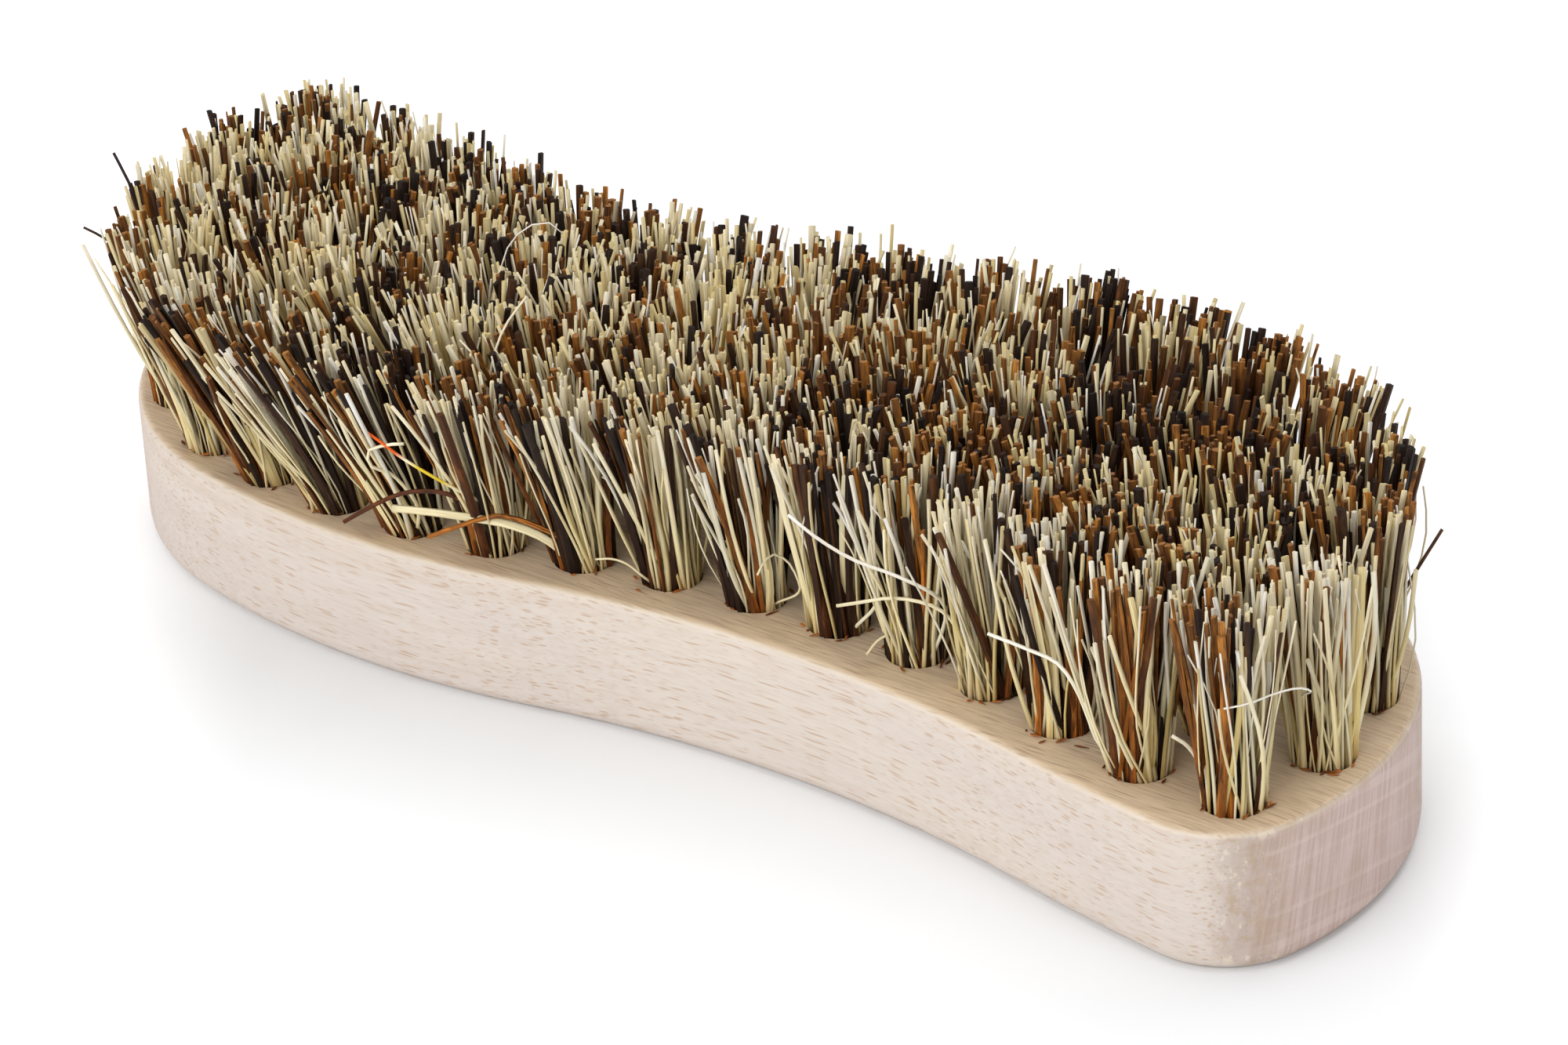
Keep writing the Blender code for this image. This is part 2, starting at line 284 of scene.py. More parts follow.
class StageSettings(bpy.types.PropertyGroup):
    """Camera and light."""

    lens: scalar("Lens", "Focal length in millimetres", 136.7308)
    distance: metres("Distance", "Camera to brush", 0.7500866)
    key: scalar("Key", "Power of the lamp overhead in watts", 6.3)
    fill: scalar("Fill", "Power of the lamp beside the camera in watts", 9.9)
    side: scalar("Side", "Power of the lamp at the right in watts", 1.95)
    sky: scalar("Sky", "Strength of the light from all round", 0.42)


class Value:
    """A number that varies over a surface. Python's operators on it add the nodes."""

    def __init__(self, paint, socket):
        self.paint = paint
        self.socket = socket

    def maths(self, operation, *values):
        node = self.paint.node("ShaderNodeMath", {"operation": operation}, values)
        return Value(self.paint, node.outputs[0])

    def __add__(self, other):
        return self.maths("ADD", self, other)

    def __radd__(self, other):
        return self.maths("ADD", other, self)

    def __sub__(self, other):
        return self.maths("SUBTRACT", self, other)

    def __rsub__(self, other):
        return self.maths("SUBTRACT", other, self)

    def __mul__(self, other):
        return self.maths("MULTIPLY", self, other)

    def __rmul__(self, other):
        return self.maths("MULTIPLY", other, self)

    def __pow__(self, other):
        return self.maths("POWER", self, other)

    def size(self):
        return self.maths("ABSOLUTE", self)

    def rise(self, low, high):
        """0 below the low value, 1 above the high one, and a smooth rise between them."""
        settings = {"interpolation_type": "SMOOTHSTEP"}
        node = self.paint.node("ShaderNodeMapRange", settings, (self, low, high, 0.0, 1.0))
        return Value(self.paint, node.outputs[0])


class Paint:
    """A material and the nodes that colour it."""

    def __init__(self, name):
        self.material = bpy.data.materials.new(name)
        self.material.use_nodes = True
        self.tree = self.material.node_tree
        self.shader = self.tree.nodes["Principled BSDF"]

    def node(self, kind, settings=None, sockets=()):
        """Add a node: its settings first, then the values or links of its sockets."""
        made = self.tree.nodes.new(kind)
        for key, value in (settings or {}).items():
            setattr(made, key, value)
        self.feed(made, sockets)
        return made

    def feed(self, node, sockets):
        """Set or link the sockets of a node, by their place or by their name."""
        pairs = sockets.items() if isinstance(sockets, dict) else enumerate(sockets)
        for key, value in pairs:
            source = getattr(value, "socket", value)
            if isinstance(source, bpy.types.NodeSocket):
                self.tree.links.new(source, node.inputs[key])
            else:
                node.inputs[key].default_value = source

    def place(self):
        """Object coordinates."""
        return self.node("ShaderNodeTexCoord").outputs["Object"]

    def axis(self, vector, name):
        """One axis of a vector, as a number."""
        return Value(self, self.node("ShaderNodeSeparateXYZ", None, (vector,)).outputs[name])

    def stretch(self, vector, scale):
        """A vector with each axis scaled."""
        return self.node("ShaderNodeVectorMath", {"operation": "MULTIPLY"}, (vector, scale)).outputs[0]

    def push(self, vector, other):
        """The sum of two vectors."""
        return self.node("ShaderNodeVectorMath", {"operation": "ADD"}, (vector, other)).outputs[0]

    def join(self, *axes):
        """A vector from three numbers."""
        return self.node("ShaderNodeCombineXYZ", None, axes).outputs[0]

    def tilt(self, vector, angle):
        """A vector turned about X."""
        sockets = {"Vector": vector, "Rotation": (angle, 0.0, 0.0)}
        return self.node("ShaderNodeMapping", {"vector_type": "POINT"}, sockets).outputs[0]

    def noise(self, vector, detail=2.0, rough=0.5):
        """Soft noise from 0 to 1, one lump to a unit of the vector."""
        sockets = {"Vector": vector, "Scale": 1.0, "Detail": detail, "Roughness": rough}
        return Value(self, self.node("ShaderNodeTexNoise", None, sockets).outputs["Fac"])

    def cells(self, vector):
        """Distance to the nearest of scattered points, and a number of its own for each."""
        node = self.node("ShaderNodeTexVoronoi", None, {"Vector": vector, "Scale": 1.0})
        return Value(self, node.outputs["Distance"]), self.axis(node.outputs["Color"], "X")

    def attribute(self, name):
        """What a piece's own attribute holds, as a node."""
        return self.node("ShaderNodeAttribute", {"attribute_name": name})

    def mix(self, share, first, second, blend="MIX"):
        """A colour between two others."""
        node = self.node("ShaderNodeMix", {"data_type": "RGBA", "blend_type": blend})
        colours = [c if isinstance(c, bpy.types.NodeSocket) else (*c, 1.0) for c in (first, second)]
        self.feed(node, {0: share, 6: colours[0], 7: colours[1]})
        return node.outputs[2]

    def times(self, colour, factors):
        """A colour with each of its channels multiplied."""
        return self.mix(1.0, colour, factors, "MULTIPLY")

    def bump(self, height, depth):
        """A normal from a height between 0 and 1, and the depth that it stands for."""
        sockets = {"Strength": 1.0, "Distance": depth, "Height": height}
        return self.node("ShaderNodeBump", None, sockets).outputs[0]

    def finish(self, **sockets):
        """Feed the shader. Underscores stand for the spaces of its socket names."""
        self.feed(self.shader, {key.replace("_", " "): value for key, value in sockets.items()})
        return self.material


def beech(settings):
    """Planed beech: pinkish wood, tan flecks along the grain, a face warmed by painted bounce light from
    the fibres, a painted highlight on its eased edge, and dull end grain.
    """
    light, upper, arris_highlight = (0.65, 0.575, 0.51), (0.68, 0.59, 0.485), (0.80, 0.68, 0.52)
    ring_tint, face_ring, line = (0.54, 0.44, 0.37), (0.50, 0.34, 0.20), (0.47, 0.34, 0.23)
    end_ray, end_ring, end_blotch = (0.40, 0.275, 0.215), (0.66, 0.53, 0.45), (0.44, 0.30, 0.21)
    bruise, nick = (0.44, 0.30, 0.18), (0.74, 0.64, 0.50)
    paint = Paint("beech")
    place = paint.place()

    def lumps(scale, *how):
        """Soft noise over the block, with its lumps to a metre along each axis."""
        return paint.noise(paint.stretch(place, scale), *how)

    normal = paint.node("ShaderNodeTexCoord").outputs["Normal"]
    height = paint.axis(place, "Z")
    up = paint.axis(normal, "Z")
    sideways = paint.axis(normal, "X").size()
    across = sideways.rise(0.38, 0.96)
    on_top = up.rise(0.55, 0.98)

    # Growth rings round a pith beside and below the block
    drift = lumps((22.0, 90.0, 90.0), 3.0)
    across_grain = paint.axis(place, "Y") + 0.022
    depth = height + 0.050
    ring = (across_grain * across_grain + depth * depth) ** 0.5
    bands = paint.noise(paint.join(paint.axis(place, "X") * 9.0, ring * 480.0, height * 12.0), 3.0, 0.6)

    # Fibre lines, ray flecks and small specks, all along the grain
    fibres = lumps((150.0, 2600.0, 2600.0))
    wander = paint.node("ShaderNodeTexNoise", None, {"Vector": place, "Scale": 90.0}).outputs["Color"]
    bent = paint.push(place, paint.stretch(wander, (0.001, 0.001, 0.001)))
    gap, chance = paint.cells(paint.stretch(bent, (150.0, 2200.0, 2200.0)))
    crowd = lumps((16.0, 60.0, 60.0), 1.0)
    flecks = (1.0 - gap.rise(0.17, 0.38)) * (chance + 0.9 * crowd).rise(0.74, 0.90)
    tiny_gap, tiny_chance = paint.cells(paint.stretch(bent, (430.0, 3600.0, 3600.0)))
    specks = (1.0 - tiny_gap.rise(0.16, 0.38)) * tiny_chance.rise(0.45, 0.6)

    # The sides and the face
    wood = paint.mix(drift.rise(0.3, 0.75), settings.wood, light)
    wood = paint.mix(height.rise(11.0 * MM, 17.5 * MM) * 0.35, wood, upper)
    wood = paint.mix(bands.rise(0.45, 0.8) * 0.40, wood, ring_tint)
    # Painted light: the tan over the face stands for warm light bounced from the fibres
    wood = paint.mix(on_top * 0.9, wood, settings.face)
    wood = paint.mix(bands.rise(0.5, 0.85) * on_top * 0.5, wood, face_ring)
    flecked = flecks * (0.68 + 0.1 * on_top) * (1.0 - sideways.rise(0.45, 0.85))
    wood = paint.mix(flecked, wood, settings.fleck)
    wood = paint.mix(specks * 0.40 * (1.0 - sideways.rise(0.35, 0.75)), wood, settings.fleck)
    wood = paint.mix(fibres.rise(0.35, 0.70) * (0.22 + 0.33 * on_top), wood, line)

    # The end grain, with its rays upright
    rays = paint.noise(paint.stretch(paint.tilt(place, 0.16), (130.0, 1900.0, 70.0)), 3.0, 0.6)
    blotch = lumps((150.0, 260.0, 210.0), 3.0)
    end = paint.mix(rays.rise(0.40, 0.60) * 0.65, settings.end, end_ray)
    end = paint.mix(bands.rise(0.52, 0.62) * 0.34, end, end_ring)
    end = paint.mix(sideways.rise(0.80, 1.0), end, paint.times(end, (1.12, 1.13, 1.22)))
    end = paint.mix(blotch.rise(0.45, 0.75) * 0.45, end, end_blotch)
    wood = paint.mix(across * 0.9, wood, end)

    # The near corner: darker where the side turns into the end, with bruises and nicks from the saw; and
    # a painted highlight on the eased edge round the face
    corner = (1.0 - (sideways - 0.68).size().rise(0.05, 0.32)) * paint.axis(place, "X").rise(0.06, 0.085)
    wood = paint.mix(corner * 0.6, wood, paint.times(wood, (0.82, 0.82, 0.84)))
    crushed = lumps((420.0, 420.0, 330.0), 4.0, 0.65)
    wood = paint.mix(crushed.rise(0.48, 0.60) * corner * 0.55, wood, bruise)
    wood = paint.mix((1.0 - crushed.rise(0.36, 0.44)) * corner * 0.6, wood, nick)
    # Painted highlight where the eased top edge turns half way up
    arris = (1.0 - (up - 0.62).size().rise(0.0, 0.36)) * height.rise(FACE - 2.0 * MM, FACE - 1.0 * MM)
    wood = paint.mix(arris * 0.35, wood, arris_highlight)
    relief = 0.6 * fibres + 0.4 * flecks
    return paint.finish(
        Base_Color=wood,
        Roughness=0.62 - 0.12 * flecks,
        Normal=paint.bump(relief, 0.05 * MM),
    )


def plant_fibre():
    """Cut plant fibre: a tint for each, streaks, painted highlights and a rusty cut end on the brown
    ones, and painted shade on the pale ones' cut ends and down to the hole.
    """
    dark_joint, rusty_end, hole_shade = (0.030, 0.014, 0.009), (0.40, 0.185, 0.06), (0.02, 0.012, 0.008)
    pale_shade, brown_shade = (0.93, 0.88, 0.66), (1.0, 0.82, 0.60)
    paint = Paint("plant_fibre_looks")
    grain = paint.attribute("grain").outputs["Vector"]
    tint = paint.attribute("tint").outputs["Color"]
    cut = Value(paint, paint.attribute("cut").outputs["Fac"])
    streaks = paint.noise(paint.stretch(grain, (3600.0, 3600.0, 150.0)), 2.0, 0.6)
    joints = paint.noise(paint.stretch(grain, (900.0, 900.0, 210.0)), 3.0, 0.6)
    brown = 1.0 - paint.axis(tint, "X").rise(0.36, 0.55)

    # Along the fibre, with painted highlights in the brown fibres' streaks and joints
    colour = paint.mix(streaks.rise(0.35, 0.75) * 0.55, tint, paint.times(tint, (0.58, 0.46, 0.31)))
    colour = paint.mix(joints.rise(0.5, 0.8) * 0.3, colour, paint.times(tint, (1.15, 1.1, 1.0)))
    # Painted highlights on the brown fibres, at joints and along light streaks
    painted_highlight = paint.times(tint, (2.1, 2.0, 1.5))
    colour = paint.mix(joints.rise(0.52, 0.66) * brown * 0.9, colour, painted_highlight)
    colour = paint.mix((1.0 - joints.rise(0.36, 0.48)) * brown * 0.8, colour, dark_joint)
    painted_highlight = paint.times(tint, (2.5, 2.3, 1.5))
    colour = paint.mix(streaks.rise(0.50, 0.64) * brown * 0.55, colour, painted_highlight)

    # Its cut end: rusty on the brown fibres, and a painted shade, darker and yellower, on the pale ones
    rusty = paint.axis(tint, "X").rise(0.04, 0.16) * brown
    cut_colour_and_shade = paint.mix(rusty * 0.6, paint.times(tint, (0.82, 0.76, 0.64)), rusty_end)
    colour = paint.mix(cut * 0.85, colour, cut_colour_and_shade)

    # Painted shade: darker and warmer down to the hole, for the shade and the brown light bounced among
    # the fibres
    height = paint.axis(paint.place(), "Z")
    deep = 1.0 - height.rise(FACE + 4.0 * MM, TRIM - 1.5 * MM)
    shade = paint.mix(brown, pale_shade, brown_shade)
    colour = paint.mix(deep * 0.9, colour, paint.times(colour, shade))
    # Painted shade at the foot, tinted orange-brown like the debris round the rims
    low = 1.0 - height.rise(FACE - 1.0 * MM, FACE + 3.0 * MM)
    colour = paint.mix(low * 0.5, colour, paint.times(colour, (0.62, 0.40, 0.20)))
    # Painted black shade on the fibres down in the hole
    colour = paint.mix(1.0 - height.rise(FACE - 4.0 * MM, FACE - 0.5 * MM), colour, hole_shade)
    return paint.finish(
        Base_Color=colour,
        Roughness=0.52 + 0.2 * streaks,
        Specular_IOR_Level=0.14,
        Normal=paint.bump(streaks, 0.05 * MM),
    )


def deselect():
    """Leave edit mode with nothing selected."""
    if bpy.context.object and bpy.context.object.mode != "OBJECT":
        bpy.ops.object.mode_set(mode="OBJECT")
    bpy.ops.object.select_all(action="DESELECT")


def apply_place(piece):
    """Put the place of an object into its mesh."""
    deselect()
    piece.select_set(True)
    bpy.context.view_layer.objects.active = piece
    bpy.ops.object.transform_apply(location=True, rotation=True, scale=True)


def settle(piece, slot, material, *nodes):
    """Hand a finished piece to the frame."""
    piece.data.materials.clear()
    piece.data.materials.append(material)
    if nodes:
        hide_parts(*nodes)
    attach(piece, "root")


def trace_half(step):
    """Spin one corner about the centre of each arc in turn. Returns both ends of the line."""
    bpy.ops.mesh.primitive_circle_add(vertices=3, radius=MM, location=(0.0, 0.0, 0.0))
    board = bpy.context.object
    bpy.ops.object.mode_set(mode="EDIT")
    bpy.ops.mesh.select_all(action="SELECT")
    bpy.ops.mesh.merge(type="CENTER")
    point = Vector((0.0, 0.0, 0.0))
    heading = FIRST_HEADING
    turned = sum(sweep for _, sweep in ARCS)
    for radius, sweep in ARCS + ((CORNER_RADIUS, math.pi - turned),):
        centre = point + radius * Vector((-math.sin(heading), math.cos(heading), 0.0))
        count = max(2, math.ceil(abs(sweep) / step))
        bpy.ops.mesh.spin(steps=count, angle=-sweep, center=centre, axis=(0.0, 0.0, 1.0))
        point = centre + Matrix.Rotation(sweep, 3, "Z") @ (point - centre)
        heading += sweep
    return board, point


def model_block(settings):
    """Board with its two like halves, raised and eased along its edges."""
    deselect()
    board, last = trace_half(settings.step)
    middle = last / 2.0
    bpy.ops.mesh.select_all(action="SELECT")
    bpy.ops.mesh.duplicate()
    bpy.ops.transform.rotate(value=math.pi, orient_axis="Z", center_override=middle)
    bpy.ops.mesh.select_all(action="SELECT")
    bpy.ops.mesh.remove_doubles(threshold=0.01 * MM)
    bpy.ops.transform.translate(value=-middle)
    bpy.ops.mesh.edge_face_add()
    bpy.ops.mesh.extrude_region_move(TRANSFORM_OT_translate={"value": (0.0, 0.0, FACE)})
    bpy.ops.mesh.select_all(action="SELECT")
    bpy.ops.mesh.normals_make_consistent(inside=False)
    for level, radius in ((FACE, settings.arris), (0.0, settings.lower_arris)):
        bpy.ops.mesh.select_mode(type="EDGE")
        bpy.ops.mesh.select_all(action="DESELECT")
        bpy.ops.object.mode_set(mode="OBJECT")
        points = board.data.vertices
        for edge in board.data.edges:
            edge.select = max(abs(points[corner].co.z - level) for corner in edge.vertices) < 0.1 * MM
        bpy.ops.object.mode_set(mode="EDIT")
        bpy.ops.mesh.bevel(offset=radius, segments=5, affect="EDGES")
    bpy.ops.object.mode_set(mode="OBJECT")
    board.name = board.data.name = "beech_board"
    return board


def drill(board, tufts, settings):
    """Cut a blind hole for each tuft."""
    deselect()
    drills = []
    for tuft in tufts:
        middle = (*tuft.foot, FACE)
        bpy.ops.mesh.primitive_cylinder_add(
            vertices=36, radius=settings.hole, depth=2.0 * settings.depth, location=middle
        )
        drills.append(bpy.context.object)
    for piece in drills:
        piece.select_set(True)
    bpy.context.view_layer.objects.active = drills[0]
    bpy.ops.object.join()
    guide = bpy.context.object
    apply_place(guide)
    cut = board.modifiers.new("drilled_holes", "BOOLEAN")
    cut.operation = "DIFFERENCE"
    cut.solver = "EXACT"
    cut.object = guide
    deselect()
    board.select_set(True)
    bpy.context.view_layer.objects.active = board
    bpy.ops.object.modifier_apply(modifier=cut.name)
    bpy.data.objects.remove(guide, do_unlink=True)
    bpy.ops.object.shade_smooth_by_angle(angle=math.radians(32.0))


class Tuft:
    """Where a tuft stands and where the middle of its tips is, read from its solid."""

    def __init__(self, name):
        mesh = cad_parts[name].data
        points = np.empty(3 * len(mesh.vertices))
        mesh.vertices.foreach_get("co", points)
        points = points.reshape(-1, 3)
        plug = points[points[:, 2] < FACE - MM]
        tips = points[points[:, 2] > TRIM - 3.0 * MM]
        self.name = name
        self.foot = (plug.min(0) + plug.max(0))[:2] / 2.0
        self.tip = (tips.min(0) + tips.max(0))[:2] / 2.0
        outward = self.tip - self.foot
        self.outward = outward / max(np.hypot(*outward), 1e-9)
        self.in_front = name in FRONT_MIX
        self.at_end = abs(self.foot[0]) > END_START and name not in NEAR_TUFTS
        self.near = min(max(self.foot[0] / NEAR_FULL, 0.0), 1.0)

    def reach(self, others, angles, limit):
        """How far its tips may go each way before they meet those of a neighbour."""
        away = np.array([other.tip - self.tip for other in others if other is not self])
        gap = np.hypot(away[:, 0], away[:, 1])
        facing = (np.cos(angles)[:, None] * away[:, 0] + np.sin(angles)[:, None] * away[:, 1]) / gap
        walls = np.where(facing > 0.05, gap / 2.0 / np.maximum(facing, 0.05), 1.0)
        return np.minimum(walls.min(1), limit)


TUFTS = [Tuft(name) for name in EDGE_NAMES + INNER_NAMES]


class Strand:
    """One plain fibre: a five-sided rod a unit long, copied and bent for every fibre."""

    SIDES = 5

    def __init__(self, rings):
        self.rings = rings
        deselect()
        bpy.ops.mesh.primitive_cylinder_add(
            vertices=self.SIDES, radius=1.0, depth=1.0, end_fill_type="NGON", location=(0.0, 0.0, 0.5)
        )
        rod = bpy.context.object
        apply_place(rod)
        bpy.ops.object.mode_set(mode="EDIT")
        bpy.ops.mesh.select_mode(type="EDGE")
        bpy.ops.mesh.select_all(action="DESELECT")
        bpy.ops.object.mode_set(mode="OBJECT")
        points = rod.data.vertices
        for edge in rod.data.edges:
            edge.select = abs(points[edge.vertices[0]].co.z - points[edge.vertices[1]].co.z) > 0.5
        bpy.ops.object.mode_set(mode="EDIT")
        bpy.ops.mesh.subdivide(number_cuts=rings - 2)
        bpy.ops.object.mode_set(mode="OBJECT")
        mesh = rod.data
        self.points = np.array([tuple(vertex.co) for vertex in mesh.vertices])
        self.faces = [tuple(face.vertices) for face in mesh.polygons]
        self.level = np.rint(self.points[:, 2] * (rings - 1)).astype(int)
        bpy.data.objects.remove(rod, do_unlink=True)

    def copies(self, name, paths, widths, depths, front, tints, round_ones):
        """A piece with a copy of the rod along every path, its flat side to the front.

        Each has a tint of its own, or one for every ring. Round ones are shaded smooth.
        """
        count = len(paths)
        along = np.gradient(paths, axis=1)
        along /= np.linalg.norm(along, axis=2, keepdims=True)
        side = np.cross(along, front)
        side /= np.linalg.norm(side, axis=2, keepdims=True)
        back = np.cross(along, side)
        level = self.level
        points = (
            paths[:, level]
            + side[:, level] * (self.points[:, 0] * widths[:, level])[..., None]
            + back[:, level] * (self.points[:, 1] * depths[:, level])[..., None]
        )
        size = len(self.points)
        faces = [tuple(corner + size * k for corner in face) for k in range(count) for face in self.faces]
        mesh = bpy.data.meshes.new(name)
        mesh.from_pydata(points.reshape(-1, 3).tolist(), [], faces)
        ends = np.array([len(face) != 4 for face in self.faces] * count)
        mesh.polygons.foreach_set("use_smooth", ~ends & np.repeat(round_ones, len(self.faces)))
        tint = mesh.attributes.new("tint", "FLOAT_COLOR", "POINT")
        tints = tints[:, level] if tints.ndim == 3 else np.repeat(tints[:, None], size, axis=1)
        colour = np.concatenate([tints.reshape(-1, 3), np.ones((count * size, 1))], axis=1)
        tint.data.foreach_set("color", colour.ravel())
        steps = np.linalg.norm(np.diff(paths, axis=1), axis=2)
        travel = np.concatenate([np.zeros((count, 1)), np.cumsum(steps, axis=1)], axis=1)
        # Each fibre reads the grain at a place of its own
        apart = 37.0 * MM * np.arange(count)[:, None]
        grain = (
            self.points[:, 0] * widths[:, level] + apart,
            self.points[:, 1] * depths[:, level],
            travel[:, level],
        )
        place = mesh.attributes.new("grain", "FLOAT_VECTOR", "POINT")
        place.data.foreach_set("vector", np.stack(grain, 2).ravel())
        cut = mesh.attributes.new("cut", "FLOAT", "FACE")
        cut.data.foreach_set("value", ends.astype(float))
        mesh.update()
        piece = bpy.data.objects.new(name, mesh)
        bpy.context.scene.collection.objects.link(piece)
        return piece


def soft_field(spots, rng):
    """Smooth random lumps over the bundle, so that like fibres stand together."""
    total = np.zeros(len(spots))
    for _ in range(3):
        angle, phase = rng.random(2) * math.tau
        wave = 1.0 + 1.2 * rng.random()
        along = spots[:, 0] * math.cos(angle) + spots[:, 1] * math.sin(angle)
        total += np.cos(wave * along * 2.0 + phase)
    return total / 3.0


def choose_kinds(tuft, spots, rng):
    """Kind of each fibre: the dark and brown ones gather on one side of the tuft."""
    count = len(spots)
    if tuft.in_front:
        dark, brown, side = FRONT_MIX[tuft.name]
        right = spots[:, 0] * CAMERA_RIGHT[0] + spots[:, 1] * CAMERA_RIGHT[1]
        field = 1.4 * side * right + 0.5 * soft_field(spots, rng)
    else:
        shares = np.array(USUAL_MIX) + NEAR_MIX * tuft.near + rng.normal(0.0, 0.09, 2)
        dark, brown = np.clip(shares, 0.04, 0.5)
        field = soft_field(spots, rng)
    order = np.argsort(-(field + 0.75 * rng.normal(size=count)))
    coloured = order[: round(count * (dark + brown))]
    split = np.argsort(-(soft_field(spots[coloured], rng) + 0.6 * rng.normal(size=len(coloured))))
    lot = rng.random(count)
    kinds = np.where(lot < STRIPS, "strip", np.where(lot > 1.0 - HAIRS, "hair", "pale"))
    kinds[coloured] = "brown"
    kinds[coloured[split[: round(count * dark)]]] = "dark"
    return kinds


def blend(first, second, share):
    """Colours between two, one for each share."""
    share = np.asarray(share)[:, None]
    return np.array(first) * (1.0 - share) + np.array(second) * share


def tint_fibres(kinds, stray, tuft, rng, settings):
    """A colour for each fibre, by its kind. The front tufts and the strays are bleached most."""
    count = len(kinds)
    lot = rng.random(count)
    if tuft.in_front:
        chance = 0.22 + 0.33 * np.clip((tuft.foot[0] - 0.03) / 0.05, 0.0, 1.0)
        yellowing = 2.6
    else:
        chance = 0.08
        yellowing = 0.9 - 0.4 * tuft.near
    pale = blend(settings.cream, settings.straw, lot**yellowing)
    bleached = (rng.random(count) < np.where(stray, 0.6, chance)) & (kinds != "strip")
    bleached |= kinds == "hair"
    pale[bleached] = blend(settings.cream, settings.white, lot)[bleached]
    brown = blend(settings.rust, settings.bark, lot**0.6)
    dark = blend(settings.black, settings.bark, lot**3.0)
    tints = np.where((kinds == "brown")[:, None], brown, pale)
    tints = np.where((kinds == "dark")[:, None], dark, tints)
    return tints * (0.90 + 0.20 * rng.random(count))[:, None]


def spread_roots(count, rng):
    """Even, slightly shuffled spots in a circle of radius one."""
    number = np.arange(count)
    golden = math.pi * (3.0 - math.sqrt(5.0))
    turn = number * golden + rng.random() * math.tau + rng.normal(0.0, 0.06, count)
    out = np.sqrt((number + 0.5) / count)
    return turn, out


def level_ways(turns):
    """Level unit vectors, one for each turn."""
    return np.stack([np.cos(turns), np.sin(turns), np.zeros(len(turns))], axis=1)[:, None]


def size_fibres(kinds, rng):
    """Half width, half thickness and bow of each fibre, by its kind."""
    widths, depths, bows = np.empty((3, len(kinds)))
    for kind, (wide, flat, bow) in FIBRE_KINDS.items():
        those = kinds == kind
        widths[those] = rng.uniform(*wide, those.sum()) * MM
        depths[those] = widths[those] * rng.uniform(*flat, those.sum())
        bows[those] = bow * MM
    return widths, depths, bows


def fan_tips(tuft, turn, out, limit, rng):
    """Place of each tip: fanned to fill the tuft's room, but held back on its outer side."""
    count = len(turn)
    lean = turn + rng.normal(0.0, 0.35, count)
    lean_out = np.clip(np.cos(lean) * tuft.outward[0] + np.sin(lean) * tuft.outward[1], 0.0, 1.0)
    held = 0.5 if tuft.at_end else 0.2
    reach = tuft.reach(TUFTS, lean, limit * (1.0 - held * lean_out))
    fan = np.clip(1.17 * out + rng.normal(0.0, 0.15, count), 0.0, 1.3) * reach
    fan = fan * (1.0 - 0.14 * np.clip(tuft.foot[0] / 0.05, 0.0, 1.0))
    return tuft.tip + np.stack([fan * np.cos(lean), fan * np.sin(lean)], axis=1)


def trim_tops(tuft, out, side, trim, rng):
    """Height of each tip: an even trim, a few above it and some short, mostly on the outside."""
    count = len(out)
    top = TRIM - trim * rng.random(count) ** 1.3 + np.where(rng.random(count) < 0.12, 1.0 * MM, 0.0)
    short = rng.random(count) < (0.30 if tuft.in_front else 0.16)
    outer = (1.0 if tuft.in_front else 0.0) * np.clip(side, 0.0, 1.0)
    drop = rng.uniform(0.0, 4.5, count) * (out + outer)
    return top - np.where(short, drop, 0.0) * MM


def sway_tips(tuft, tip, side, stray, light, rng):
    """Move the tips: strays hang out, inner sides lean in to close the rows, and all wander."""
    count = len(side)
    loose = stray[:, None]
    tip = tip + np.where(loose, tuft.outward * rng.uniform(0.3, 3.2, (count, 1)) * MM, 0.0)
    if tuft.name in EDGE_NAMES:
        tip = tip - tuft.outward * (LEAN * np.clip(-side, 0.0, 1.0))[:, None]
    left = -CAMERA_RIGHT
    if tuft.name in LEANING_TUFTS:
        tip = tip + left * (LEAN * np.clip(0.5 + side, 0.0, 1.0))[:, None]
    if tuft.in_front and tuft.foot[0] > SWAY_START:
        tip = tip + np.where(loose, left * rng.uniform(-0.5, 4.2, (count, 1)) * MM, 0.0)
    tip = tip + np.where(loose, rng.normal(0.0, 1.2 * MM, (count, 2)), 0.0)
    return tip + rng.normal(0.0, 1.0 * MM, (count, 2)) * np.where(light, 1.0, 0.5)[:, None]


def lay_paths(tuft, rings, foot, tip, top, bows, stray, rng):
    """A path for each fibre, from deep in the hole to its tip, with a bow and a slight wave."""
    count = len(top)
    rise = (np.arange(rings) - 1.0) / (rings - 2.0)
    paths = np.empty((count, rings, 3))
    share = np.clip(rise, 0.0, 1.0)[None, :, None] ** 1.12
    paths[:, :, :2] = foot[:, None] * (1.0 - share) + tip[:, None] * share
    paths[:, :, 2] = FACE + (top - FACE)[:, None] * rise
    paths[:, 0, :2] = tuft.foot + (foot - tuft.foot) * 0.9
    paths[:, 0, 2] = FACE - ROOT_DEPTH
    bend = rng.normal(size=(count, 2)) * bows[:, None]
    bend = bend * np.where(stray, 1.5, 1.0)[:, None]
    twist = rng.normal(size=(count, 2)) * bows[:, None] * 0.25
    humps = np.sin(math.pi * np.clip(rise, 0.0, 1.0))[None, :, None]
    waves = np.sin(math.tau * np.clip(rise, 0.0, 1.0))[None, :, None]
    paths[:, :, :2] += bend[:, None] * humps + twist[:, None] * waves
    return paths


